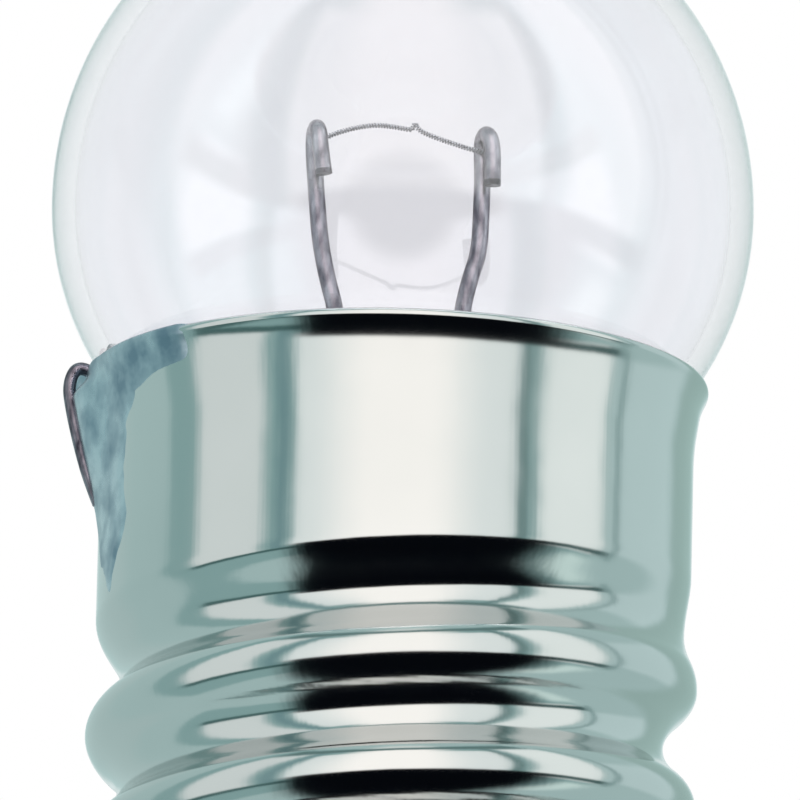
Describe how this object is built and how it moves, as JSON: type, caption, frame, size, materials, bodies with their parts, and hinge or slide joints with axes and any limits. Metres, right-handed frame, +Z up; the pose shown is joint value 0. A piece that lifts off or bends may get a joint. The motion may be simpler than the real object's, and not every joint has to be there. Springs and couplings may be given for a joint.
{
  "type": "flashlight bulb",
  "caption": "Small filament bulb with a round clear glass globe on a threaded metal screw base, soldered at the rim and at the bottom contact.",
  "frame": {"origin": "tip of the bottom contact, on the lamp's axis", "axes": "+Z up the lamp's axis from the screw base to the globe, -Y the front, -X the side with the soldered lead"},
  "size_m": [0.0108, 0.0108, 0.0217],
  "materials": {
    "clear_glass": "clear, fire polished",
    "bead_glass": "pale, fused",
    "tungsten": "drawn and coiled",
    "lead_wire": "dull, drawn",
    "plated_shell": "bright nickel plate",
    "cement": "matt, baked",
    "black_glass": "glossy, moulded",
    "brass": "stamped",
    "solder": "soft satin"
  },
  "bodies": {
    "root": {"glass_envelope": "clear_glass", "glass_bead": "bead_glass", "filament": "tungsten", "shell_lead": "lead_wire", "contact_lead": "lead_wire", "screw_shell": "plated_shell", "basing_cement": "cement", "insulator": "black_glass", "contact_eyelet": "brass", "contact_solder": "solder", "rim_solder": "solder"}
  },
  "joints": []
}
